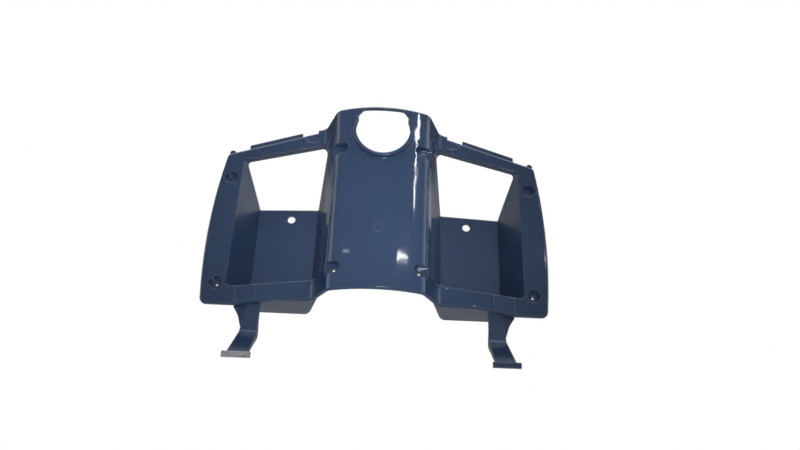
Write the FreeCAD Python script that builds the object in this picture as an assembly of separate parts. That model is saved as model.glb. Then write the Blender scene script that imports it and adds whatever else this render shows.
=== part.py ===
import FreeCAD, Part
import math
import os

from FreeCAD import Vector

# Inner panel of a scooter's leg shield: one injection moulding, in millimetres.
# X runs across the scooter, Z up the panel, and the rider sits on the -Y side.
# The shapes are drawn with the wings' front face at Y = 0, and the finished panel is then moved
# so that the origin lies midway between the two lower outer screws, on the floors of their seats.

# Moulded wall
WALL = 2.5
SKIRT = 7.0
EDGE_ROUND = 4.0

# Outline of the panel
OUTER_TOP_X = 203.5
OUTER_TOP_Z = 182.5
OUTER_LOW_X = 210.5
OUTER_LOW_Z = -26.0
OUTER_BOW = 6.75
OUTER_TOP_ROUND = 7.0
OUTER_LOW_ROUND = 9.0
NECK_HALF = 65.5
NECK_TOP_Z = 229.6
NECK_FOOT_Z = 226.6
NECK_ROUND = 10.0
RAIL_DROP_X = 168.0
RAIL_LEVEL_X = 118.0
COLUMN_LOW_Z = -18.3
RAIL_ROUND = 15.0

# Steering column cover, a convex hump between the two wings
COLUMN_FOOT_HALF = 77.5
COLUMN_CROWN_DEG = 20.0
COLUMN_FRONT_ROUND = 140.0
COLUMN_CORNER_ROUND = 14.0
COLUMN_FOOT_ROUND = 13.0
COLUMN_DRAFT_DEG = 28.0
NECK_DRAFT_DEG = 22.0
COLUMN_DEPTH = 51.0
NECK_BASE_Z = 162.0
NECK_BLEND = 60.0
NECK_LEAN_DEG = 5.3
GATE_Z = 60.0
GATE_R = 6.0
GATE_SUNK = 0.5

# Steering hole and its open collar
HOLE_Z = 195.5
COLLAR_BORE_R = 34.5
COLLAR_WALL = 4.0
COLLAR_FLARE = 2.4
COLLAR_BEVEL = 0.8
COLLAR_PROUD = 6.0
COLLAR_ROOT = 12.0
COLLAR_END_DEG = 24.0
HOLE_UPPER_R = 38.2
HOLE_FLAT = 31.2

# Glove pockets, one in each wing
MOUTH_FRONT_Y = -34.0
MOUTH_IN_X = 70.7
MOUTH_OUT_X = 182.0
MOUTH_TOP_IN_Z = 204.3
MOUTH_TOP_OUT_Z = 174.0
RAIL_TOP_IN_Z = 9.0
RAIL_TOP_OUT_Z = -4.4
MOUTH_ROUND = 6.0
LIP_WIDTH = 3.2
LIP_PROUD = 0.9
LIP_TOP_DROP = 8.0
POCKET_DEPTH = 56.0
POCKET_BACK_IN_X = 83.7
POCKET_BACK_OUT_X = 162.4
POCKET_FLOOR_Z = -14.2
POCKET_FLOOR_RISE = 0.6
POCKET_ROUND = 6.0
WINDOW_START_Y = 10.0
BACK_WALL_TOP_OUT_Z = 128.4
BACK_WALL_TOP_IN_Z = 131.9
BACK_HOLE_X = 119.0
BACK_HOLE_Z = 116.0
BACK_HOLE_R = 5.3

# Screw seats
SCREW_HOLE_R = 2.4
SEAT_FLOOR = 8.0
OUTER_SCREW_X = 194.0
OUTER_SCREW_TOP_Z = 146.5
OUTER_SEAT_R = 8.0
OUTER_SEAT_DEPTH = 6.0
COLUMN_SCREW_X = 50.5
COLUMN_SCREW_TOP_Z = 173.0
COLUMN_SCREW_LOW_Z = 10.5
COLUMN_SEAT_R = 7.4
COLUMN_SEAT_Y = -31.0

# Tongue along the top edge, the step between it and the column, and the ear at its outer end
TONGUE_OUT_X = 176.0
TONGUE_IN_X = 108.0
TONGUE_HEIGHT = 5.0
TONGUE_ROUND = 1.1
TONGUE_SET_BACK = 1.6
TONGUE_FOOT = 7.0
STEP_IN_X = 87.5
STEP_LOW_X = 97.5
STEP_DROP = 15.5
STEP_LOW_DROP = 13.4
STEP_ROUND = 6.0
EAR_X = 197.5
EAR_R = 4.0
EAR_HEIGHT = 3.4

# Ribs on the rails and hook legs below them
RIB_IN_X = 143.5
RIB_OUT_X = 168.5
RIB_R = 1.5
RIB_PROUD = 1.0
RIB_TOP_DROP = 1.2
LEG_Y = 8.0
LEG_CHANNEL = 7.0
LEG_IN_X = 139.0
LEG_TOP_OUT_X = 155.0
LEG_END_OUT_X = 163.5
LEG_BEND_Z = -57.0
LEG_BEND_ROUND = 7.0
FLARE_TOP_X = 171.0
FLARE_LOW_X = 160.0
FLARE_LOW_Z = -50.0
FLARE_MID_X = 164.5
FLARE_MID_Z = -36.0
FLARE_ROUND = 24.0
FLARE_SET_BACK = 3.5
HEEL_TOP_Z = -28.0
HEEL_DEPTH = 15.0
HEEL_ROUND = 10.0
FOOT_Y = -34.0
FOOT_Z = -96.4
TOE_OVERHANG = 3.7
TOE_HEIGHT = 6.4
TOE_DEPTH = 4.5
TOE_ROUND = 1.2

# Lengths that only have to pass right through what they cut
REACH_X = 300.0
REACH_Y = 120.0
FILLED_BACK_Y = 60.0
HUMP_BACK_Y = 40.0
SPARE = 10.0
OVERLAP = 1.0

# Sections that carry the neck's curved blend
BLEND_STEPS = 3

# Smallest rounding kept by an inset corner, the share of a side that its roundings may take,
# and the distances that count as touching
LEAST_ROUND = 0.25
SIDE_SHARE = 0.98
RIM_TOLERANCE = 0.01
SAME_POINT = 1e-6


def rounded_wire(corners, to_point, inset=0.0):
    """Closed wire through anticlockwise corners (u, v, radius), moved inwards by inset.

    Each radius grows or shrinks with the inset, and two roundings that share a
    side too short for both are reduced together until they fit on it.
    """
    count = len(corners)
    starts, heads = [], []
    for i in range(count):
        u0, v0 = corners[i][:2]
        u1, v1 = corners[(i + 1) % count][:2]
        length = math.hypot(u1 - u0, v1 - v0)
        head = ((u1 - u0) / length, (v1 - v0) / length)
        starts.append((u0 - head[1] * inset, v0 + head[0] * inset))
        heads.append(head)
    points, halves, tangents = [], [], []
    for i in range(count):
        before, after = heads[i - 1], heads[i]
        cross = before[0] * after[1] - before[1] * after[0]
        dot = before[0] * after[0] + before[1] * after[1]
        (au, av), (bu, bv) = starts[i - 1], starts[i]
        along = ((bu - au) * after[1] - (bv - av) * after[0]) / cross
        points.append((au + before[0] * along, av + before[1] * along))
        halves.append(math.atan2(abs(cross), dot) / 2)
        radius = corners[i][2]
        if radius > 0:
            radius = max(radius - math.copysign(inset, cross), LEAST_ROUND)
        tangents.append(radius * math.tan(halves[i]))
    room = [1.0] * count
    for i in range(count):
        j = (i + 1) % count
        wanted = tangents[i] + tangents[j]
        side = math.dist(points[i], points[j]) * SIDE_SHARE
        if wanted > side:
            room[i] = min(room[i], side / wanted)
            room[j] = min(room[j], side / wanted)
    tangents = [tangent * share for tangent, share in zip(tangents, room)]
    edges = []
    for i in range(count):
        (pu, pv), before, after, cut = points[i], heads[i - 1], heads[i], tangents[i]
        j = (i + 1) % count
        first = to_point(pu - before[0] * cut, pv - before[1] * cut)
        last = to_point(pu + after[0] * cut, pv + after[1] * cut)
        if cut > 0:
            bisector = (after[0] - before[0], after[1] - before[1])
            size = math.hypot(*bisector)
            rise = cut / math.tan(halves[i]) * (1 / math.cos(halves[i]) - 1)
            middle = to_point(pu + bisector[0] / size * rise, pv + bisector[1] / size * rise)
            edges.append(Part.Arc(first, middle, last).toShape())
        next_first = to_point(points[j][0] - after[0] * tangents[j], points[j][1] - after[1] * tangents[j])
        if last.distanceToPoint(next_first) > SAME_POINT:
            edges.append(Part.LineSegment(last, next_first).toShape())
    return Part.Wire(edges)


def wire_at_y(corners, y, inset=0.0):
    """Closed wire of (x, z, radius) corners in the plane at y."""
    return rounded_wire(corners, lambda u, v: Vector(u, y, v), inset)


def prism(corners, y0, y1, inset=0.0):
    """Solid of (x, z, radius) corners between two depths."""
    return Part.Face(wire_at_y(corners, y0, inset)).extrude(Vector(0, y1 - y0, 0))


def box(x0, x1, y0, y1, z0, z1):
    """Solid block between two corners."""
    return Part.makeBox(x1 - x0, y1 - y0, z1 - z0, Vector(x0, y0, z0))


def pin(x, z, radius, y0, y1):
    """Round solid along Y between two depths."""
    return Part.makeCylinder(radius, y1 - y0, Vector(x, y0, z), Vector(0, 1, 0))


def both_sides(shape):
    """A right-hand shape and its mirror image."""
    return [shape, shape.mirror(Vector(0, 0, 0), Vector(1, 0, 0))]


def line_z(x, x0, z0, x1, z1):
    """Height at x of the straight line through two points."""
    return z0 + (z1 - z0) * (x - x0) / (x1 - x0)


def top_edge_z(x):
    """Height of the wing's sloping top edge."""
    return line_z(x, NECK_HALF, NECK_TOP_Z, OUTER_TOP_X, OUTER_TOP_Z)


def rail_top_z(x):
    """Height of the rail along the lower edge of a pocket's mouth."""
    return line_z(x, MOUTH_IN_X, RAIL_TOP_IN_Z, MOUTH_OUT_X, RAIL_TOP_OUT_Z)


def mouth_top_z(x):
    """Height of the bar along the upper edge of a pocket's mouth."""
    return line_z(x, MOUTH_IN_X, MOUTH_TOP_IN_Z, MOUTH_OUT_X, MOUTH_TOP_OUT_Z)


def outline():
    """Corners of the whole panel seen from the front."""
    chord = math.hypot(OUTER_TOP_X - OUTER_LOW_X, OUTER_TOP_Z - OUTER_LOW_Z)
    bow_radius = chord ** 2 / (8 * OUTER_BOW)
    middle_x = (OUTER_TOP_X + OUTER_LOW_X) / 2 + 2 * OUTER_BOW
    middle_z = (OUTER_TOP_Z + OUTER_LOW_Z) / 2
    right = [
        (RAIL_LEVEL_X, COLUMN_LOW_Z, RAIL_ROUND),
        (RAIL_DROP_X, OUTER_LOW_Z, RAIL_ROUND),
        (OUTER_LOW_X, OUTER_LOW_Z, OUTER_LOW_ROUND),
        (middle_x, middle_z, bow_radius),
        (OUTER_TOP_X, OUTER_TOP_Z, OUTER_TOP_ROUND),
        (NECK_HALF, NECK_TOP_Z, NECK_ROUND),
    ]
    left = [(-x, z, r) for x, z, r in reversed(right)]
    return right + left


def column_outline():
    """Corners of the column's part of the panel seen from the front, a step above the wings' top edges."""
    right = [
        (column_reach(), COLUMN_LOW_Z, 0),
        (column_reach(), NECK_FOOT_Z, 0),
        (NECK_HALF, NECK_TOP_Z, NECK_ROUND),
    ]
    left = [(-x, z, r) for x, z, r in reversed(right)]
    return right + left


def neck_rise(z, blend):
    """Height above the neck's base, growing from nothing along a parabola over the blend."""
    start = z - NECK_BASE_Z + blend / 2
    if 0 < start < blend:
        return start ** 2 / (2 * blend)
    return max(z - NECK_BASE_Z, 0.0)


def column_depth(z, blend=NECK_BLEND):
    """Depth of the column's front at a height: upright below the neck, leaning to the rider above."""
    return COLUMN_DEPTH + neck_rise(z, blend) * math.tan(math.radians(NECK_LEAN_DEG))


def column_draft(z, blend):
    """Slope of the column's sides at a height: even below the neck, steeper above."""
    share = neck_rise(z, blend) / (NECK_TOP_Z - NECK_BASE_Z)
    return math.radians(COLUMN_DRAFT_DEG + (NECK_DRAFT_DEG - COLUMN_DRAFT_DEG) * share)


def column_reach():
    """Half width of the column out to where its feet run level into the wings."""
    turn = math.radians(90 - NECK_DRAFT_DEG)
    return COLUMN_FOOT_HALF + COLUMN_FOOT_ROUND * math.tan(turn / 2) + OVERLAP


def plan_section(z, inset, blend):
    """Horizontal section of the column's hump, from foot to foot and back behind the wings' face."""
    slope = math.radians(COLUMN_CROWN_DEG)
    ridge = column_depth(z, blend) + COLUMN_FRONT_ROUND * (1 / math.cos(slope) - 1)
    draft = math.tan(column_draft(z, blend))
    half = (COLUMN_FOOT_HALF - ridge * draft) / (1 - math.tan(slope) * draft)
    corner = ridge - half * math.tan(slope)
    left = [
        (-column_reach(), HUMP_BACK_Y, 0),
        (-column_reach(), 0, 0),
        (-COLUMN_FOOT_HALF, 0, COLUMN_FOOT_ROUND),
        (-half, -corner, COLUMN_CORNER_ROUND),
    ]
    right = [(-x, y, r) for x, y, r in reversed(left)]
    corners = left + [(0, -ridge, COLUMN_FRONT_ROUND)] + right
    return rounded_wire(corners, lambda u, v: Vector(u, v, z), inset)


def hump(inset, blend):
    """Filled body of the column: an upright shaft and a neck that leans towards the rider.

    The neck curves out of the shaft over the height of the blend, or starts with a crease where that is 0.
    """
    low, start = COLUMN_LOW_Z - 2 * SPARE, NECK_BASE_Z - blend / 2
    shaft = Part.Face(plan_section(low, inset, blend)).extrude(Vector(0, 0, start - low))
    steps = BLEND_STEPS if blend else 0
    heights = [start] + [start + blend * (step + 1) / steps for step in range(steps)]
    sections = [plan_section(z, inset, blend) for z in heights + [NECK_TOP_Z + SPARE]]
    return shaft.fuse(Part.makeLoft(sections, True, not blend))


def front_body(inset):
    """Everything behind a face set back from the front face by inset."""
    return hump(inset, 0).fuse(box(-REACH_X, REACH_X, inset, REACH_Y, -REACH_X, REACH_X))


def rounded_wings():
    """The flat wings' filled body, with its front rim rounded."""
    body = prism(outline(), 0, FILLED_BACK_Y)
    rim = [edge for edge in body.Edges if edge.BoundBox.YMax < RIM_TOLERANCE]
    return body.makeFillet(EDGE_ROUND, rim)


def bevelled_column():
    """The column's filled body across its hump and feet, with its upper and lower edges bevelled."""
    body = hump(0, NECK_BLEND).common(prism(column_outline(), -REACH_Y, REACH_Y))
    rim = wire_at_y(column_outline(), 0)
    chosen = []
    for edge in body.Edges:
        first, last = edge.ParameterRange
        points = [edge.valueAt(t) for t in (first, last, (first + last) / 2)]
        flat = [Part.Vertex(p.x, 0, p.z) for p in points]
        on_rim = all(v.distToShape(rim)[0] < RIM_TOLERANCE for v in flat)
        along_y = flat[0].Point.distanceToPoint(flat[1].Point) < RIM_TOLERANCE
        upright = abs(points[2].x) > column_reach() - RIM_TOLERANCE
        if on_rim and not along_y and not upright and max(p.y for p in points) < RIM_TOLERANCE:
            chosen.append(edge)
    return body.makeChamfer(EDGE_ROUND * (2 - math.sqrt(2)), chosen)


def pocket_x(y):
    """Inner and outer side of a pocket at a depth."""
    share = y / POCKET_DEPTH
    inner = MOUTH_IN_X + (POCKET_BACK_IN_X - MOUTH_IN_X) * share
    outer = MOUTH_OUT_X + (POCKET_BACK_OUT_X - MOUTH_OUT_X) * share
    return inner, outer


def pocket_corners(y):
    """Corners of a pocket's space at a depth, down to its floor."""
    inner, outer = pocket_x(y)
    floor = POCKET_FLOOR_Z + POCKET_FLOOR_RISE * y / POCKET_DEPTH
    return [
        (inner, floor, 0),
        (outer, floor, 0),
        (outer, mouth_top_z(outer), 0),
        (inner, mouth_top_z(inner), 0),
    ]


def mouth_corners(y):
    """Corners of a pocket's mouth at a depth, down to the rail."""
    inner, outer = pocket_x(y)
    return [
        (inner, rail_top_z(inner), 0),
        (outer, rail_top_z(outer), 0),
        (outer, mouth_top_z(outer), 0),
        (inner, mouth_top_z(inner), 0),
    ]


def tapered_block(corners_at, y0, y1, radius, inset=0.0):
    """Flat-sided solid between the sections at two depths, with its long edges rounded."""
    rings = []
    for y in (y0, y1):
        rings.append([vertex.Point for vertex in wire_at_y(corners_at(y), y, inset).OrderedVertexes])
    near, far = rings
    faces = [Part.Face(Part.makePolygon(ring + ring[:1])) for ring in rings]
    for i in range(len(near)):
        side = [near[i - 1], near[i], far[i], far[i - 1], near[i - 1]]
        faces.append(Part.Face(Part.makePolygon(side)))
    block = Part.Solid(Part.Shell(faces))
    long_edges = [edge for edge in block.Edges if edge.BoundBox.YLength > SAME_POINT]
    return block.makeFillet(radius - inset, long_edges)


def pocket_wall():
    """Filled outside of a pocket, rooted halfway into the wall of the wing and of the column's side."""
    block = tapered_block(pocket_corners, MOUTH_FRONT_Y, POCKET_DEPTH + WALL, POCKET_ROUND, -WALL)
    return block.common(front_body(WALL / 2))


def pocket_space():
    """Space inside a pocket, behind the wall of the wing and of the column's side."""
    block = tapered_block(pocket_corners, MOUTH_FRONT_Y, POCKET_DEPTH, POCKET_ROUND)
    return block.common(front_body(WALL))


def pocket_mouth():
    """Opening through the wing and the column's side into a pocket."""
    return tapered_block(mouth_corners, -REACH_Y / 2, WALL + OVERLAP, MOUTH_ROUND)


def mouth_lip():
    """Low lip on the column's side along the inner edge of a pocket's mouth, below the bar."""
    block = tapered_block(mouth_corners, MOUTH_FRONT_Y, WALL / 2, MOUTH_ROUND, -LIP_WIDTH)
    low, high = COLUMN_LOW_Z, MOUTH_TOP_IN_Z - LIP_TOP_DROP
    band = hump(-LIP_PROUD, NECK_BLEND).common(box(0, REACH_X, -REACH_Y, WALL, low, high))
    return band.common(block).cut(front_body(WALL / 2))


def pocket_window():
    """Slanting opening from the bar above the mouth back to the top of the back wall."""
    low_x, high_x = MOUTH_IN_X - SPARE, MOUTH_OUT_X + SPARE
    end_y = POCKET_DEPTH + WALL + SPARE

    def quad(y, z_low, z_high):
        corners = [
            (low_x, z_low, 0),
            (high_x, z_high, 0),
            (high_x, NECK_TOP_Z + SPARE, 0),
            (low_x, NECK_TOP_Z + SPARE, 0),
        ]
        return wire_at_y(corners, y)

    def back_wall_z(x):
        start = mouth_top_z(x)
        end = line_z(x, POCKET_BACK_IN_X, BACK_WALL_TOP_IN_Z, POCKET_BACK_OUT_X, BACK_WALL_TOP_OUT_Z)
        return line_z(end_y, WINDOW_START_Y, start, POCKET_DEPTH, end)

    first = quad(WINDOW_START_Y, mouth_top_z(low_x), mouth_top_z(high_x))
    last = quad(end_y, back_wall_z(low_x), back_wall_z(high_x))
    return Part.makeLoft([first, last], True, True)


def neck_frame(shape):
    """Stand a shape made about the Y axis on the leaning face of the neck."""
    placed = shape.copy()
    placed.rotate(Vector(0, 0, 0), Vector(1, 0, 0), NECK_LEAN_DEG)
    placed.translate(Vector(0, -column_depth(HOLE_Z), HOLE_Z))
    return placed


def collar_gap():
    """Wedge above the collar's two ends."""
    side = HOLE_UPPER_R * 2
    end = math.radians(COLLAR_END_DEG)
    x, z = side * math.cos(end), side * math.sin(end)
    return prism([(0, 0, 0), (x, z, 0), (x, side, 0), (-x, side, 0), (-x, z, 0)], -REACH_Y, REACH_Y)


def collar(hollow):
    """Open ring round the steering hole, rooted in the wall of the neck."""
    front_r = COLLAR_BORE_R + COLLAR_WALL
    root_r = front_r + COLLAR_FLARE
    ring = Part.makeCone(
        front_r, root_r, COLLAR_PROUD + COLLAR_ROOT, Vector(0, -COLLAR_PROUD, 0), Vector(0, 1, 0))
    ring = ring.cut(pin(0, 0, COLLAR_BORE_R, -REACH_Y, REACH_Y))
    front = [edge for edge in ring.Edges if edge.BoundBox.YMax < -COLLAR_PROUD + RIM_TOLERANCE]
    ring = ring.makeChamfer(COLLAR_BEVEL, front)
    return neck_frame(ring.cut(collar_gap())).cut(hollow)


def steering_hole():
    """Hole through the neck: the collar's bore, wider above its ends and flat at the top."""
    bore = pin(0, 0, COLLAR_BORE_R, -SPARE, 2 * SPARE)
    wide = pin(0, 0, HOLE_UPPER_R, -SPARE, 2 * SPARE).common(collar_gap())
    below = box(-REACH_X, REACH_X, -REACH_Y, REACH_Y, -REACH_X, HOLE_FLAT)
    return neck_frame(bore.fuse(wide).common(below))


def tongue():
    """Raised strip along the wing's top edge, set back from its face."""
    corners = [
        (TONGUE_IN_X, top_edge_z(TONGUE_IN_X) - TONGUE_FOOT, 0),
        (TONGUE_OUT_X, top_edge_z(TONGUE_OUT_X) - TONGUE_FOOT, 0),
        (TONGUE_OUT_X, top_edge_z(TONGUE_OUT_X) + TONGUE_HEIGHT, TONGUE_ROUND),
        (TONGUE_IN_X, top_edge_z(TONGUE_IN_X) + TONGUE_HEIGHT, TONGUE_ROUND),
    ]
    return prism(corners, TONGUE_SET_BACK, TONGUE_SET_BACK + WALL)


def edge_step():
    """Shallow cut in the wing's face between the column's foot and the tongue."""
    corners = [
        (STEP_IN_X, top_edge_z(STEP_IN_X) - STEP_DROP, 0),
        (STEP_LOW_X, top_edge_z(STEP_LOW_X) - STEP_LOW_DROP, STEP_ROUND),
        (TONGUE_IN_X, top_edge_z(TONGUE_IN_X), 0),
        (TONGUE_IN_X, NECK_TOP_Z + SPARE, 0),
        (STEP_IN_X, NECK_TOP_Z + SPARE, 0),
    ]
    return prism(corners, -SPARE, TONGUE_SET_BACK)


def step_back():
    """Wall behind the step, as thick as the rest."""
    low_x, high_x = STEP_IN_X - WALL, TONGUE_IN_X + WALL
    corners = [
        (low_x, top_edge_z(low_x) - STEP_DROP - WALL, 0),
        (high_x, top_edge_z(high_x) - TONGUE_FOOT, 0),
        (high_x, top_edge_z(high_x) - OVERLAP, 0),
        (low_x, top_edge_z(low_x) - OVERLAP, 0),
    ]
    return prism(corners, TONGUE_SET_BACK, TONGUE_SET_BACK + WALL)


def ear():
    """Small round ear at the outer end of the top edge."""
    return pin(EAR_X, top_edge_z(EAR_X) + EAR_HEIGHT - EAR_R, EAR_R, WALL / 2, SKIRT)


def rail_low_z(x):
    """Height of the wing's lower edge below the rail."""
    return line_z(min(x, RAIL_DROP_X), RAIL_LEVEL_X, COLUMN_LOW_Z, RAIL_DROP_X, OUTER_LOW_Z)


def rail_ribs():
    """Two upright half-round ribs on the rail above a leg."""
    ribs = []
    for x in (RIB_IN_X, RIB_OUT_X):
        low = rail_low_z(x) + EDGE_ROUND
        high = rail_top_z(x) - RIB_TOP_DROP
        ribs.append(Part.makeCylinder(RIB_R, high - low, Vector(x, RIB_R - RIB_PROUD, low)))
    return ribs


def leg_band(near, far, trim):
    """Block along a leg between two distances behind its front face, cut short by trim at the toe."""
    rise = math.hypot(FOOT_Y - LEG_Y, FOOT_Z - LEG_BEND_Z)
    head = ((FOOT_Y - LEG_Y) / rise, (FOOT_Z - LEG_BEND_Z) / rise)
    side = (-head[1], head[0])

    def path(back):
        bend = (LEG_Y + back, LEG_BEND_Z + back * side[1] / (1 + side[0]))
        toe = (FOOT_Y + back * side[0] - head[0] * trim, FOOT_Z + back * side[1] - head[1] * trim)
        return [(LEG_Y + back, POCKET_FLOOR_Z, 0), (*bend, LEG_BEND_ROUND + back), (*toe, 0)]

    corners = path(near) + path(far)[::-1]
    wire = rounded_wire(corners, lambda u, v: Vector(0, u, v))
    return Part.Face(wire).extrude(Vector(REACH_X, 0, 0))


def leg_outline(inset):
    """Front view of a leg, widening on its outer side down to the toe."""
    low = FOOT_Z - 2 * SPARE
    low_x = line_z(low, POCKET_FLOOR_Z, LEG_TOP_OUT_X, FOOT_Z, LEG_END_OUT_X)
    corners = [
        (LEG_IN_X, low, 0),
        (low_x, low, 0),
        (LEG_TOP_OUT_X, POCKET_FLOOR_Z, 0),
        (LEG_TOP_OUT_X, 0, 0),
        (LEG_IN_X, 0, 0),
    ]
    return prism(corners, -REACH_Y, REACH_Y, inset)


def leg_flare():
    """Thin curved web beside a leg, from the pocket's floor to the bend, set back from the face."""
    root_x = LEG_TOP_OUT_X - WALL / 2
    corners = [
        (root_x, FLARE_LOW_Z, 0),
        (FLARE_LOW_X, FLARE_LOW_Z, 0),
        (FLARE_MID_X, FLARE_MID_Z, FLARE_ROUND),
        (FLARE_TOP_X, rail_low_z(FLARE_TOP_X), 0),
        (FLARE_TOP_X, POCKET_FLOOR_Z - WALL / 2, 0),
        (root_x, POCKET_FLOOR_Z - WALL / 2, 0),
    ]
    front = LEG_Y + FLARE_SET_BACK
    return prism(corners, front, front + WALL)


def foot_trim():
    """Space below a line from the heel to the toe, where the foot's channel grows shallower."""
    heel_y, heel_z = LEG_Y + HEEL_DEPTH, LEG_BEND_Z - WALL
    toe_y, low = FOOT_Y + WALL, FOOT_Z - REACH_Y
    corners = [(toe_y, FOOT_Z, 0), (toe_y, low, 0), (heel_y, low, 0), (heel_y, heel_z, 0)]
    wire = rounded_wire(corners, lambda u, v: Vector(0, u, v))
    return Part.Face(wire).extrude(Vector(REACH_X, 0, 0))


def leg():
    """Channel that hangs from the pocket's floor, with a toe bar at its forward end."""
    outside = leg_band(0, LEG_CHANNEL, 0).common(leg_outline(0)).cut(foot_trim())
    inside = leg_band(WALL, 2 * LEG_CHANNEL, WALL).common(leg_outline(WALL))
    corners = [
        (FOOT_Y - TOE_DEPTH / 2, FOOT_Z - TOE_HEIGHT / 2, TOE_ROUND),
        (FOOT_Y + TOE_DEPTH / 2, FOOT_Z - TOE_HEIGHT / 2, 0),
        (FOOT_Y + TOE_DEPTH / 2, FOOT_Z + TOE_HEIGHT / 2, 0),
        (FOOT_Y - TOE_DEPTH / 2, FOOT_Z + TOE_HEIGHT / 2, TOE_ROUND),
    ]
    toe_in, toe_out = LEG_IN_X - TOE_OVERHANG, LEG_END_OUT_X + TOE_OVERHANG
    bar = Part.Face(rounded_wire(corners, lambda u, v: Vector(toe_in, u, v)))
    return outside.cut(inside).fuse(bar.extrude(Vector(toe_out - toe_in, 0, 0)))


def leg_heel():
    """Upright stiffening plate behind the bend, on the inner side of a leg."""
    front = LEG_Y + WALL / 2
    corners = [
        (front, HEEL_TOP_Z, 0),
        (front, LEG_BEND_Z, 0),
        (FOOT_Y + WALL / 2, FOOT_Z, 0),
        (LEG_Y + HEEL_DEPTH, LEG_BEND_Z - WALL, HEEL_ROUND),
    ]
    wire = rounded_wire(corners, lambda u, v: Vector(LEG_IN_X, u, v))
    return Part.Face(wire).extrude(Vector(WALL, 0, 0))


def outer_seats():
    """Boss, seat and hole solids of the two screws at a wing's outer edge."""
    places = [(OUTER_SCREW_X, 0), (OUTER_SCREW_X, OUTER_SCREW_TOP_Z)]
    back = OUTER_SEAT_DEPTH + SEAT_FLOOR
    bosses = [pin(x, z, OUTER_SEAT_R + WALL, WALL / 2, back) for x, z in places]
    seats = [pin(x, z, OUTER_SEAT_R, -SPARE, OUTER_SEAT_DEPTH) for x, z in places]
    holes = [pin(x, z, SCREW_HOLE_R, -SPARE, back + SPARE) for x, z in places]
    return bosses, seats + holes


def side_slot(x, z, radius, back):
    """Slot with a round end, open to the front and to the column's side."""
    return pin(x, z, radius, -REACH_Y, back).fuse(box(x, REACH_X, -REACH_Y, back, z - radius, z + radius))


def column_seats(filled):
    """Boss, seat and hole solids of the two screws at one side of the column."""
    places = [(COLUMN_SCREW_X, COLUMN_SCREW_LOW_Z), (COLUMN_SCREW_X, COLUMN_SCREW_TOP_Z)]
    back = COLUMN_SEAT_Y + SEAT_FLOOR
    bosses = [side_slot(x, z, COLUMN_SEAT_R + WALL, back).common(filled) for x, z in places]
    seats = [side_slot(x, z, COLUMN_SEAT_R, COLUMN_SEAT_Y) for x, z in places]
    holes = [pin(x, z, SCREW_HOLE_R, -REACH_Y, back + SPARE) for x, z in places]
    return bosses, seats + holes


def gate_mark():
    """Shallow round mark left on the column where the mould was filled."""
    return pin(0, GATE_Z, GATE_R, -REACH_Y, GATE_SUNK - column_depth(GATE_Z))


def inner_panel():
    """The whole moulding as one solid."""
    filled = rounded_wings().fuse(bevelled_column())
    inside = prism(outline(), -REACH_Y, FILLED_BACK_Y, WALL)
    inside = inside.fuse(prism(column_outline(), -REACH_Y, FILLED_BACK_Y, WALL))
    hollow = front_body(WALL).common(inside)
    open_foot = front_body(WALL).common(
        box(-COLUMN_FOOT_HALF, COLUMN_FOOT_HALF, -REACH_Y, REACH_Y,
            COLUMN_LOW_Z - SPARE, COLUMN_LOW_Z + SPARE))
    shell = filled.cut([hollow, front_body(SKIRT), open_foot])
    column_bosses, column_cuts = column_seats(filled)
    outer_bosses, outer_cuts = outer_seats()
    added = column_bosses + outer_bosses + rail_ribs()
    added += [pocket_wall(), mouth_lip(), tongue(), step_back(), ear()]
    added += [leg(), leg_flare(), leg_heel()]
    removed = column_cuts + outer_cuts + [pocket_mouth(), pocket_space(), pocket_window(), edge_step()]
    removed.append(pin(BACK_HOLE_X, BACK_HOLE_Z, BACK_HOLE_R, WALL, POCKET_DEPTH + 2 * SPARE))
    pieces = [side for shape in added for side in both_sides(shape)] + [collar(hollow)]
    cuts = [side for shape in removed for side in both_sides(shape)] + [steering_hole(), gate_mark()]
    panel = shell.fuse(pieces).cut(cuts)
    panel.translate(Vector(0, -OUTER_SEAT_DEPTH, 0))
    return panel


os.makedirs("parts", exist_ok=True)
panel = inner_panel()
print("valid", panel.isValid(), "solids", len(panel.Solids), "volume", round(panel.Volume))
panel.exportStep("parts/inner_panel.step")
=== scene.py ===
"""Studio scene of a scooter's moulded inner panel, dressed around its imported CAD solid."""

import logging
import math
from dataclasses import dataclass, field
from enum import Enum
from typing import Any

import bpy
import numpy as np
from mathutils import Matrix, Vector


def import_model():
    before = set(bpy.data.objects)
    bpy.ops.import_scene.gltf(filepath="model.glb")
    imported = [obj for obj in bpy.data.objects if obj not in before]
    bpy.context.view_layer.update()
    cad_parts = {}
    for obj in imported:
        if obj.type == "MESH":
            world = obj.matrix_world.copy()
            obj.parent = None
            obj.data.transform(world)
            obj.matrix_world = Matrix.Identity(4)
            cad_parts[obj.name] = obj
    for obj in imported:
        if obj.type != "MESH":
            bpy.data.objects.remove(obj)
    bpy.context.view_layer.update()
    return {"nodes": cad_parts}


LOG = logging.getLogger("inner_panel_scene")
IMAGE_WIDTH = 800
SENSOR_MM = 36.0
WHITE = (1.0, 1.0, 1.0, 1.0)
UNSTRETCHED = (1.0, 1.0, 1.0)

Colour = tuple[float, float, float]
Point = tuple[float, float, float]
Limits = tuple[float, float]
Node = bpy.types.Node
Socket = bpy.types.NodeSocket
Tree = bpy.types.NodeTree
Level = Socket | float
Axes = tuple[Socket, Socket, Socket]


class Pattern(Enum):
    """Kinds of procedural pattern that a finish reads."""

    CLOUD = "ShaderNodeTexNoise"
    CELLS = "ShaderNodeTexVoronoi"


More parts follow.
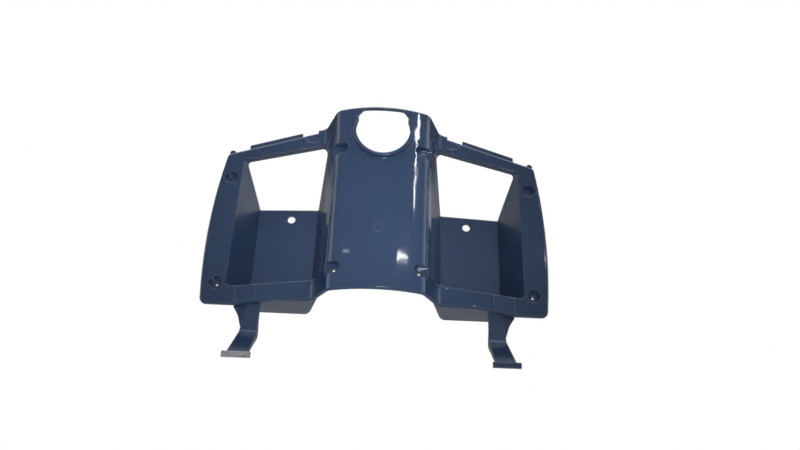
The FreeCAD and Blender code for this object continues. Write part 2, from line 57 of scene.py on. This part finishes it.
class NodeSheet:
    """One shader tree, with methods that add its nodes and join them."""

    def __init__(self, tree: Tree) -> None:
        """Keep the tree that nodes are added to."""
        self.tree = tree

    def feed(self, target: Socket, value: Any) -> None:
        """Link an output to an input, or set the input to a plain value.

        Args:
            target: The input.
            value: An output, a number or a colour.
        """
        if isinstance(value, Socket):
            self.tree.links.new(value, target)
        else:
            target.default_value = value

    def add(self, kind: str, **settings: Any) -> Node:
        """Add a node and set its inputs or properties.

        Args:
            kind: Blender's node type name.
            settings: Inputs by name, with spaces as underscores, or node properties.

        Returns:
            The new node.
        """
        node = self.tree.nodes.new(kind)
        for name, value in settings.items():
            socket = node.inputs.get(name.replace("_", " "))
            if socket is None:
                setattr(node, name, value)
            else:
                self.feed(socket, value)
        return node

    def math(self, operation: str, *values: Level) -> Socket:
        """Add one arithmetic step.

        Args:
            operation: Blender's name of the step.
            values: Sockets or numbers, in the order of the step's inputs.

        Returns:
            The step's output.
        """
        node = self.add("ShaderNodeMath", operation=operation)
        for socket, value in zip(node.inputs, values):
            self.feed(socket, value)
        return node.outputs[0]

    def ramp(self, value: Socket, low: Level, high: Level) -> Socket:
        """Stretch the part of a value between two limits smoothly to 0 and 1.

        Args:
            value: The value to stretch.
            low: Where the result starts to leave 0.
            high: Where the result reaches 1, above or below low.

        Returns:
            The stretched value.
        """
        node = self.add("ShaderNodeMapRange", Value=value, From_Min=low, From_Max=high)
        node.clamp = True
        node.interpolation_type = "SMOOTHSTEP"
        return node.outputs[0]

    def mix(self, share: Socket, first: Socket | Colour, second: Socket | Colour) -> Socket:
        """Blend two colours.

        Args:
            share: How much of the second colour shows.
            first: A colour or socket.
            second: A colour or socket.

        Returns:
            The blended colour.
        """
        node = self.add("ShaderNodeMix", data_type="RGBA")
        self.feed(node.inputs["Factor"], share)
        for name, value in (("A", first), ("B", second)):
            socket = [s for s in node.inputs if s.name == name and s.type == "RGBA"][0]
            self.feed(socket, value if isinstance(value, Socket) else (*value, 1.0))
        return [s for s in node.outputs if s.type == "RGBA"][0]

    def parts(self, vector: Socket) -> Axes:
        """Split a vector into its three numbers."""
        outputs = self.add("ShaderNodeSeparateXYZ", Vector=vector).outputs
        return outputs[0], outputs[1], outputs[2]

    def place(self) -> Socket:
        """Point on the piece in its own metres."""
        return self.add("ShaderNodeTexCoord").outputs["Object"]

    def facing(self) -> Axes:
        """Direction that the piece's surface faces, along X, Y and Z."""
        return self.parts(self.add("ShaderNodeTexCoord").outputs["Normal"])

    def pattern(self, kind: Pattern, scale: Level, stretch: Point = UNSTRETCHED) -> Socket:
        """Add a pattern on the piece's own coordinates.

        Args:
            kind: Which pattern.
            scale: Its repeats per metre.
            stretch: Share of the repeats along each axis.

        Returns:
            The pattern's value, about 0 to 1.
        """
        place = self.add("ShaderNodeMapping", Vector=self.place(), Scale=stretch).outputs["Vector"]
        node = self.add(kind.value, Vector=place, Scale=scale)
        return node.outputs["Fac" if kind is Pattern.CLOUD else "Distance"]


@dataclass(frozen=True)
class Patches:
    """Broad, soft patches: their repeats per metre, and the limits between which a cloud is stretched."""

    scale: float
    low: float
    high: float


@dataclass(frozen=True)
class Specks:
    """Small round specks: their repeats per metre, and their reach as a share of a cell."""

    scale: float
    size: float


@dataclass
class Effects:
    """Shader node groups that the moulding and the floor both use."""

    speck_limits: Limits = (0.45, 0.65)
    drift: Tree = field(init=False)
    dots: Tree = field(init=False)

    def __post_init__(self) -> None:
        """Build each group once."""
        self.drift = self.soft_drift()
        self.dots = self.fine_specks()

    def open(self, name: str, inputs: dict[str, float]) -> tuple[NodeSheet, Any, Node]:
        """Start a group with named number inputs and one mask.

        Args:
            name: The group's name.
            inputs: Its inputs and their usual values.

        Returns:
            The group's sheet, its inputs and its output node.
        """
        tree = bpy.data.node_groups.new(name, "ShaderNodeTree")
        for label, value in inputs.items():
            socket = tree.interface.new_socket(label, in_out="INPUT", socket_type="NodeSocketFloat")
            socket.default_value = value
        tree.interface.new_socket("Mask", in_out="OUTPUT", socket_type="NodeSocketFloat")
        sheet = NodeSheet(tree)
        return sheet, sheet.add("NodeGroupInput").outputs, sheet.add("NodeGroupOutput")

    def soft_drift(self) -> Tree:
        """Make the group of broad, soft patches.

        Returns:
            A group that stretches a cloud between Low and High.
        """
        sheet, given, out = self.open("soft_drift", {"Scale": 10.0, "Low": 0.3, "High": 0.7})
        cloud = sheet.pattern(Pattern.CLOUD, given["Scale"])
        sheet.feed(out.inputs["Mask"], sheet.ramp(cloud, given["Low"], given["High"]))
        return sheet.tree

    def fine_specks(self) -> Tree:
        """Make the group of small round specks with uneven strength.

        Returns:
            A group whose specks reach Size of a cell, broken by a cloud of the same scale.
        """
        sheet, given, out = self.open("fine_specks", {"Scale": 400.0, "Size": 0.2})
        cells = sheet.pattern(Pattern.CELLS, given["Scale"])
        specks = sheet.math("SUBTRACT", 1.0, sheet.ramp(cells, 0.0, given["Size"]))
        uneven = sheet.ramp(sheet.pattern(Pattern.CLOUD, given["Scale"]), *self.speck_limits)
        sheet.feed(out.inputs["Mask"], sheet.math("MULTIPLY", specks, uneven))
        return sheet.tree

    def patches(self, sheet: NodeSheet, look: Patches) -> Socket:
        """Place the group of patches in a material with its own values."""
        values = {"Scale": look.scale, "Low": look.low, "High": look.high}
        return sheet.add("ShaderNodeGroup", node_tree=self.drift, **values).outputs["Mask"]

    def specks(self, sheet: NodeSheet, look: Specks) -> Socket:
        """Place the group of specks in a material with its own values."""
        values = {"Scale": look.scale, "Size": look.size}
        return sheet.add("ShaderNodeGroup", node_tree=self.dots, **values).outputs["Mask"]


@dataclass(frozen=True)
class GlossPlastic:
    """Finish of a dark, polished injection moulding with satin inner faces.

    Colours are linear, lengths and heights are metres, and scales are repeats per metre.
    """

    colour: Colour = (0.028, 0.054, 0.115)
    drift_colour: Colour = (0.034, 0.063, 0.130)
    # Lighter edge colour: partly wear, partly painted highlight lines on the rims and pocket mouths.
    worn_edge_highlight_colour: Colour = (0.120, 0.150, 0.210)
    dust_colour: Colour = (0.24, 0.25, 0.27)
    # Lighter grey on the toe bars, mostly the left one.
    toe_grey_colour: Colour = (0.40, 0.42, 0.45)
    ior: float = 1.5
    polish: float = 0.05
    smear: float = 0.08
    satin: float = 0.25
    worn: float = 0.22
    flow: Patches = Patches(scale=9.0, low=0.3, high=0.7)
    smears: Patches = Patches(scale=55.0, low=0.5, high=0.8)
    wipe_scale: float = 420.0
    wipe_stretch: Point = (1.0, 1.0, 0.07)
    wipe_limits: Limits = (0.55, 0.75)
    wipe_share: float = 0.6
    wave_scale: float = 24.0
    wave_height: float = 0.00020
    grain_scale: float = 1900.0
    grain_height: float = 0.000002
    edge_round: float = 0.0016
    edge_round_samples: int = 6
    edge_width: float = 0.0011
    # Breaks up the lighter edge lines, which are part wear and part painted highlight.
    edge_wear_and_highlight: Patches = Patches(scale=120.0, low=0.4, high=0.65)
    dust: Specks = Specks(scale=330.0, size=0.22)
    settled_share: float = 0.25
    dust_share: float = 0.30
    toe_grey_patches: Patches = Patches(scale=330.0, low=0.25, high=0.45)


@dataclass(frozen=True)
class Paper:
    """Finish of the pale studio floor, which glows a little where it is seen or mirrored."""

    colour: Colour = (0.80, 0.80, 0.81)
    fibre_colour: Colour = (0.72, 0.72, 0.73)
    tone: Patches = Patches(scale=3.0, low=0.2, high=0.8)
    fibres: Specks = Specks(scale=260.0, size=0.3)
    fibre_share: float = 0.3
    roughness: float = 0.9
    glow: float = 0.12


@dataclass
class PanelZones:
    """Places on the panel that its finish treats differently, in the part's own metres.

    Turns are limits of how far a surface faces a direction, and edge_limits are limits of how open it is.
    """

    face_y: float = -0.0058
    behind_y: float = -0.0036
    seat_x: float = 0.184
    seat_soft: float = 0.002
    back_turn: Limits = (0.25, 0.6)
    up_turn: Limits = (0.55, 0.95)
    toe_y: float = -0.0355
    toe_z: float = -0.0915
    toe_soft: float = 0.002
    right_toe_share: float = 0.04
    edge_limits: Limits = (0.18, 0.42)
    edge_samples: int = 8

    def satin(self, sheet: NodeSheet) -> Socket:
        """Mark the pockets and the back, whose mould wasn't polished.

        Args:
            sheet: The material's sheet.

        Returns:
            A mask that is 1 behind the wings' face, apart from the outer screw seats,
            and 1 on all faces turned backwards.
        """
        x, y, _ = sheet.parts(sheet.place())
        behind = sheet.ramp(y, self.face_y, self.behind_y)
        inward = sheet.ramp(sheet.math("ABSOLUTE", x), self.seat_x + self.seat_soft, self.seat_x)
        pockets = sheet.math("MULTIPLY", behind, inward)
        _, turned, _ = sheet.facing()
        return sheet.math("MAXIMUM", pockets, sheet.ramp(turned, *self.back_turn))

    def upward(self, sheet: NodeSheet) -> Socket:
        """Mark faces on which dust settles."""
        _, _, turned = sheet.facing()
        return sheet.ramp(turned, *self.up_turn)

    def toes(self, sheet: NodeSheet) -> Socket:
        """Mark the toe bars, most of all the left one.

        Args:
            sheet: The material's sheet.

        Returns:
            A mask of the bars at the forward ends of the hook legs.
        """
        x, y, z = sheet.parts(sheet.place())
        forward = sheet.ramp(y, self.toe_y + self.toe_soft, self.toe_y)
        low = sheet.ramp(z, self.toe_z + self.toe_soft, self.toe_z)
        left = sheet.ramp(x, self.toe_soft, -self.toe_soft)
        side = sheet.math("MAXIMUM", left, self.right_toe_share)
        return sheet.math("MULTIPLY", sheet.math("MULTIPLY", forward, low), side)

    def edges(self, sheet: NodeSheet, width: float) -> Socket:
        """Mark outer edges, where little of the moulding lies behind the surface.

        Args:
            sheet: The material's sheet.
            width: How far the mark reaches from an edge.

        Returns:
            A mask that is 1 on sharp outer edges.
        """
        node = sheet.add("ShaderNodeAmbientOcclusion", Distance=width, samples=self.edge_samples)
        node.inside = True
        node.only_local = True
        return sheet.ramp(sheet.math("SUBTRACT", 1.0, node.outputs["AO"]), *self.edge_limits)


@dataclass
class MouldedPanel:
    """The panel itself: its CAD node with the finish of a polished moulding."""

    effects: Effects
    node: str = "inner_panel"
    slot: str = "panel"
    finish: GlossPlastic = field(default_factory=GlossPlastic)
    zones: PanelZones = field(default_factory=PanelZones)

    def tint(self, sheet: NodeSheet, dust: Socket, toe_grey_patches: Socket, wear_and_highlight: Socket) -> Socket:
        """Colour of the moulding: plastic that drifts with its flow, then lighter edge lines that are
        part wear and part painted highlight, dust, and a lighter grey on the toe bars over it.

        Args:
            sheet: The material's sheet.
            dust: Where dust lies.
            toe_grey_patches: Where the toe bars turn a lighter grey.
            wear_and_highlight: Where an edge is lightened, partly by wear and partly as a painted
                highlight line.

        Returns:
            The colour.
        """
        look = self.finish
        flow = self.effects.patches(sheet, look.flow)
        plastic = sheet.mix(flow, look.colour, look.drift_colour)
        # Lightens outer edges: partly wear, partly painted highlight lines.
        worn = sheet.mix(wear_and_highlight, plastic, look.worn_edge_highlight_colour)
        dusty = sheet.mix(dust, worn, look.dust_colour)
        # Lays the lighter grey on the toe bars.
        return sheet.mix(toe_grey_patches, dusty, look.toe_grey_colour)

    def polish(self, sheet: NodeSheet, satin: Socket, dull: Socket) -> Socket:
        """Roughness: polished with smears and wiping marks, satin on inner faces, duller under dust, the
        light edge lines and the toe grey.

        Args:
            sheet: The material's sheet.
            satin: Where the mould wasn't polished.
            dull: Where dust, the toe grey or the light edge lines lie.

        Returns:
            The roughness.
        """
        look = self.finish
        smears = self.effects.patches(sheet, look.smears)
        strokes = sheet.pattern(Pattern.CLOUD, look.wipe_scale, look.wipe_stretch)
        wiped = sheet.ramp(strokes, *look.wipe_limits)
        marks = sheet.math("MAXIMUM", smears, sheet.math("MULTIPLY", wiped, look.wipe_share))
        clean = sheet.math("MULTIPLY_ADD", marks, look.smear, look.polish)
        inner = sheet.math("MULTIPLY_ADD", satin, look.satin, clean)
        return sheet.math("MULTIPLY_ADD", dull, look.worn, inner)

    def relief(self, sheet: NodeSheet, satin: Socket) -> Socket:
        """Normal: softened edges, a shallow waviness, and a fine grain on satin faces.

        Args:
            sheet: The material's sheet.
            satin: Where the grain shows.

        Returns:
            The bumped normal.
        """
        look = self.finish
        soft = sheet.add("ShaderNodeBevel", Radius=look.edge_round, samples=look.edge_round_samples)
        wave = sheet.math("MULTIPLY", sheet.pattern(Pattern.CLOUD, look.wave_scale), look.wave_height)
        grain = sheet.math("MULTIPLY", sheet.pattern(Pattern.CLOUD, look.grain_scale), look.grain_height)
        bump = sheet.add("ShaderNodeBump", Distance=1.0, Strength=1.0, Normal=soft.outputs["Normal"])
        sheet.feed(bump.inputs["Height"], sheet.math("MULTIPLY_ADD", grain, satin, wave))
        return bump.outputs["Normal"]

    def material(self) -> bpy.types.Material:
        """Make the moulding's material.

        Returns:
            A material whose colour, polish and relief come from patterns and from the panel's zones.
        """
        look, effects, zones = self.finish, self.effects, self.zones
        made = bpy.data.materials.new("navy_gloss_moulding")
        made.use_nodes = True
        made.node_tree.nodes.clear()
        sheet = NodeSheet(made.node_tree)
        satin = zones.satin(sheet)
        specks = effects.specks(sheet, look.dust)
        settled = sheet.math("MULTIPLY_ADD", zones.upward(sheet), look.settled_share, specks)
        dust = sheet.math("MULTIPLY", settled, look.dust_share)
        # Lighter grey patches on the toe bars, mostly the left one.
        toe_grey_patches = sheet.math("MULTIPLY", zones.toes(sheet), effects.patches(sheet, look.toe_grey_patches))
        broken = effects.patches(sheet, look.edge_wear_and_highlight)
        # Mask of the lighter edges, which paints highlight lines as well as wear.
        wear_and_highlight = sheet.math("MULTIPLY", zones.edges(sheet, look.edge_width), broken)
        dull = sheet.math("MAXIMUM", sheet.math("MAXIMUM", dust, wear_and_highlight), toe_grey_patches)
        shader = sheet.add(
            "ShaderNodeBsdfPrincipled",
            IOR=look.ior,
            Base_Color=self.tint(sheet, dust, toe_grey_patches, wear_and_highlight),
            Roughness=self.polish(sheet, satin, dull),
            Normal=self.relief(sheet, satin),
        )
        sheet.add("ShaderNodeOutputMaterial", Surface=shader.outputs["BSDF"])
        return made

    def dress(self, nodes: dict[str, bpy.types.Object]) -> bpy.types.Object:
        """Give the CAD node its finish.

        Args:
            nodes: The frame's CAD nodes by name.

        Returns:
            The dressed object.
        """
        panel = nodes[self.node]
        made = self.material()
        if panel.material_slots:
            for place in panel.material_slots:
                place.material = made
        else:
            panel.data.materials.append(made)
        return panel


@dataclass(frozen=True)
class Softbox:
    """A rectangular lamp: the point it faces, where it hangs from there, its size, power and beam.

    Lengths are metres and angles are degrees. Azimuth 0 is the rider's side, and it grows to the right.
    """

    name: str
    aim: Point
    azimuth: float
    elevation: float
    distance: float
    size: tuple[float, float]
    watts: float
    spread: float = 180.0

    def build(self) -> bpy.types.Object:
        """Hang the lamp.

        Returns:
            The lamp's object.
        """
        turn, rise = math.radians(self.azimuth), math.radians(self.elevation)
        out = Vector((math.cos(rise) * math.sin(turn), -math.cos(rise) * math.cos(turn), math.sin(rise)))
        light = bpy.data.lights.new(self.name, "AREA")
        light.shape = "RECTANGLE"
        light.size, light.size_y = self.size
        light.energy = self.watts
        light.spread = math.radians(self.spread)
        made = bpy.data.objects.new(self.name, light)
        made.location = Vector(self.aim) + out * self.distance
        made.rotation_mode = "QUATERNION"
        made.rotation_quaternion = out.to_track_quat("Z", "Y")
        bpy.context.scene.collection.objects.link(made)
        return made


SOFTBOXES = (
    Softbox(
        name="front_softbox",
        aim=(-0.025, -0.055, 0.11),
        azimuth=8.0,
        elevation=-23.0,
        distance=0.87,
        size=(0.14, 0.14),
        watts=0.29,
        spread=38.0,
    ),
    Softbox(
        name="high_softbox",
        aim=(0.0, -0.06, 0.11),
        azimuth=8.0,
        elevation=57.0,
        distance=1.25,
        size=(0.36, 0.36),
        watts=0.11,
        spread=18.0,
    ),
    Softbox(
        name="upright_strip",
        aim=(0.043, -0.050, 0.150),
        azimuth=37.6,
        elevation=26.8,
        distance=1.2,
        size=(0.020, 0.080),
        watts=0.17,
    ),
    Softbox(
        name="level_strip",
        aim=(0.029, -0.054, 0.0236),
        azimuth=26.0,
        elevation=23.4,
        distance=2.4,
        size=(0.42, 0.016),
        watts=0.85,
    ),
    Softbox(
        name="left_level_strip",
        aim=(-0.038, -0.052, 0.032),
        azimuth=-32.5,
        elevation=23.6,
        distance=2.4,
        size=(0.20, 0.014),
        watts=0.08,
    ),
)


@dataclass
class Room:
    """Surroundings: white to the lens, a shaped room in reflections, and a soft fill for all other light.

    Fills and mirrors are strengths of white. Limits are shares of a direction along X, Y or Z.
    """

    fill: float = 0.19
    ceiling_fill: float = 0.40
    window_fill: float = 0.55
    rear_fill: float = 0.65
    mirror: float = 0.26
    ceiling_mirror: float = 2.0
    side_mirror: float = 1.4
    back_mirror: float = 0.25
    back_left_mirror: float = 0.60
    back_right_mirror: float = 1.0
    upper_mirror: float = 0.08
    ceiling_z: Limits = (0.6, 0.9)
    window_x: Limits = (0.7, 0.95)
    rear_y: Limits = (-0.1, 0.6)
    side_x: Limits = (0.78, 0.9)
    back_y: Limits = (0.0, 0.3)
    back_z: Limits = (0.0, 0.2)
    back_left_x: Limits = (-0.45, -0.6)
    back_right_x: Limits = (0.45, 0.6)
    upper_z: Limits = (0.47, 0.51)

    def raised(self, sheet: NodeSheet, base: float, *layers: tuple[Socket, Level]) -> Socket:
        """Raise an even level in masked places.

        Each layer adds its mask times the difference between its own level and the even one.

        Args:
            sheet: The world's sheet.
            base: The even level.
            layers: Pairs of a mask and its level.

        Returns:
            The summed level.
        """
        level: Level = base
        for mask, target in layers:
            plain = isinstance(target, float)
            rise = target - base if plain else sheet.math("SUBTRACT", target, base)
            level = sheet.math("MULTIPLY_ADD", mask, rise, level)
        return level

    def mirrored(self, sheet: NodeSheet, toward: Axes) -> Socket:
        """Level in reflections: pale ceiling and sides, and a backdrop that is dark in its upper part.

        Args:
            sheet: The world's sheet.
            toward: Direction of the ray.

        Returns:
            The level.
        """
        x, y, z = toward
        ceiling = sheet.ramp(z, *self.ceiling_z)
        sides = sheet.ramp(sheet.math("ABSOLUTE", x), *self.side_x)
        behind = sheet.math("MULTIPLY", sheet.ramp(y, *self.back_y), sheet.ramp(z, *self.back_z))
        right = (sheet.ramp(x, *self.back_right_x), self.back_right_mirror)
        left = (sheet.ramp(x, *self.back_left_x), self.back_left_mirror)
        lower = self.raised(sheet, self.back_mirror, right, left)
        darker = sheet.math("SUBTRACT", self.upper_mirror, lower)
        backdrop = sheet.math("MULTIPLY_ADD", sheet.ramp(z, *self.upper_z), darker, lower)
        layers = ((ceiling, self.ceiling_mirror), (sides, self.side_mirror), (behind, backdrop))
        return self.raised(sheet, self.mirror, *layers)

    def filled(self, sheet: NodeSheet, toward: Axes) -> Socket:
        """Level of the soft fill: even, and raised at the ceiling, the right-hand window and the rear.

        Args:
            sheet: The world's sheet.
            toward: Direction of the ray.

        Returns:
            The level.
        """
        x, y, z = toward
        ceiling = (sheet.ramp(z, *self.ceiling_z), self.ceiling_fill)
        window = (sheet.ramp(x, *self.window_x), self.window_fill)
        rear = (sheet.ramp(y, *self.rear_y), self.rear_fill)
        return self.raised(sheet, self.fill, ceiling, window, rear)

    def build(self) -> bpy.types.World:
        """Make the world, whose level goes by the kind of ray.

        Returns:
            The world.
        """
        world = bpy.data.worlds.new("soft_room")
        bpy.context.scene.world = world
        world.use_nodes = True
        world.node_tree.nodes.clear()
        sheet = NodeSheet(world.node_tree)
        path = sheet.add("ShaderNodeLightPath").outputs
        plain = sheet.math("MAXIMUM", path["Is Camera Ray"], path["Is Transmission Ray"])
        toward = sheet.parts(sheet.add("ShaderNodeTexCoord").outputs["Generated"])
        glossy = sheet.math("MULTIPLY", path["Is Glossy Ray"], self.mirrored(sheet, toward))
        other = sheet.math("SUBTRACT", 1.0, sheet.math("MAXIMUM", plain, path["Is Glossy Ray"]))
        lit = sheet.math("MULTIPLY_ADD", other, self.filled(sheet, toward), glossy)
        strength = sheet.math("ADD", plain, lit)
        shade = sheet.add("ShaderNodeBackground", Color=WHITE, Strength=strength)
        sheet.add("ShaderNodeOutputWorld", Surface=shade.outputs["Background"])
        return world


@dataclass
class Studio:
    """Pale paper floor, soft room and softboxes round the panel."""

    effects: Effects
    floor_z: float = -0.80
    floor_half: float = 6.0
    floor_steps: int = 25
    paper: Paper = field(default_factory=Paper)
    room: Room = field(default_factory=Room)
    lamps: tuple[Softbox, ...] = SOFTBOXES

    def floor(self) -> bpy.types.Object:
        """Make the floor: a level square whose points run evenly along X and Y.

        Returns:
            The floor object.
        """
        steps = np.linspace(-self.floor_half, self.floor_half, self.floor_steps)
        x, y = np.meshgrid(steps, steps)
        points = np.stack([x, y, np.full_like(x, self.floor_z)], axis=-1).reshape(-1, 3)
        index = np.arange(points.shape[0]).reshape(x.shape)
        quads = np.stack([index[:-1, :-1], index[:-1, 1:], index[1:, 1:], index[1:, :-1]], axis=-1)
        mesh = bpy.data.meshes.new("studio_floor")
        mesh.from_pydata(points.tolist(), [], quads.reshape(-1, 4).tolist())
        made = bpy.data.objects.new("studio_floor", mesh)
        bpy.context.scene.collection.objects.link(made)
        mesh.materials.append(self.paint())
        return made

    def paint(self) -> bpy.types.Material:
        """Make the floor's paper.

        Returns:
            A matt material with a faint drift of tone and sparse fibres, and a glow for rays that see it.
        """
        look, effects = self.paper, self.effects
        made = bpy.data.materials.new("pale_paper")
        made.use_nodes = True
        sheet = NodeSheet(made.node_tree)
        tone = effects.patches(sheet, look.tone)
        fibres = effects.specks(sheet, look.fibres)
        share = sheet.math("MULTIPLY", sheet.math("MAXIMUM", tone, fibres), look.fibre_share)
        colour = sheet.mix(share, look.colour, look.fibre_colour)
        path = sheet.add("ShaderNodeLightPath").outputs
        seen = sheet.math("MAXIMUM", path["Is Camera Ray"], path["Is Transmission Ray"])
        seen = sheet.math("MAXIMUM", seen, path["Is Glossy Ray"])
        shader = made.node_tree.nodes["Principled BSDF"].inputs
        sheet.feed(shader["Base Color"], colour)
        sheet.feed(shader["Roughness"], look.roughness)
        sheet.feed(shader["Emission Color"], colour)
        sheet.feed(shader["Emission Strength"], sheet.math("MULTIPLY", seen, look.glow))
        return made

    def build(self) -> None:
        """Make the floor, the surroundings and the lamps."""
        LOG.info("laid %s", self.floor().name)
        LOG.info("made %s", self.room.build().name)
        for lamp in self.lamps:
            LOG.info("hung %s", lamp.build().name)


@dataclass
class Lens:
    """Camera at the photograph's viewing angle, with its place and reach in metres."""

    focal_px: float = 700.0
    pitch: float = math.radians(25.995)
    yaw: float = math.radians(1.636)
    roll: float = math.radians(1.929)
    place: Point = (0.00404, -0.80700, -0.30226)
    reach: Limits = (0.01, 50.0)

    def build(self) -> bpy.types.Object:
        """Make the camera and look through it.

        Returns:
            The camera object.
        """
        ahead = Vector((
            math.sin(self.yaw) * math.cos(self.pitch),
            math.cos(self.yaw) * math.cos(self.pitch),
            math.sin(self.pitch),
        ))
        level = Vector((math.cos(self.yaw), -math.sin(self.yaw), 0.0))
        above = level.cross(ahead)
        right = level * math.cos(self.roll) + above * math.sin(self.roll)
        up = above * math.cos(self.roll) - level * math.sin(self.roll)
        data = bpy.data.cameras.new("lens")
        data.sensor_width = SENSOR_MM
        data.lens = self.focal_px / IMAGE_WIDTH * SENSOR_MM
        data.clip_start, data.clip_end = self.reach
        made = bpy.data.objects.new("lens", data)
        turn = Matrix((right, up, -ahead)).transposed().to_4x4()
        made.matrix_world = Matrix.Translation(Vector(self.place)) @ turn
        bpy.context.scene.collection.objects.link(made)
        bpy.context.scene.camera = made
        return made


def main() -> None:
    """Build the scene's classes in order."""
    logging.basicConfig(level=logging.INFO, format="%(message)s")
    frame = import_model()
    bpy.context.scene.view_settings.view_transform = "Standard"
    effects = Effects()
    panel = MouldedPanel(effects).dress(frame["nodes"])
    LOG.info("dressed %s, %d triangles", panel.name, len(panel.data.polygons))
    Studio(effects).build()
    LOG.info("set %s", Lens().build().name)


if __name__ == "__main__":
    main()
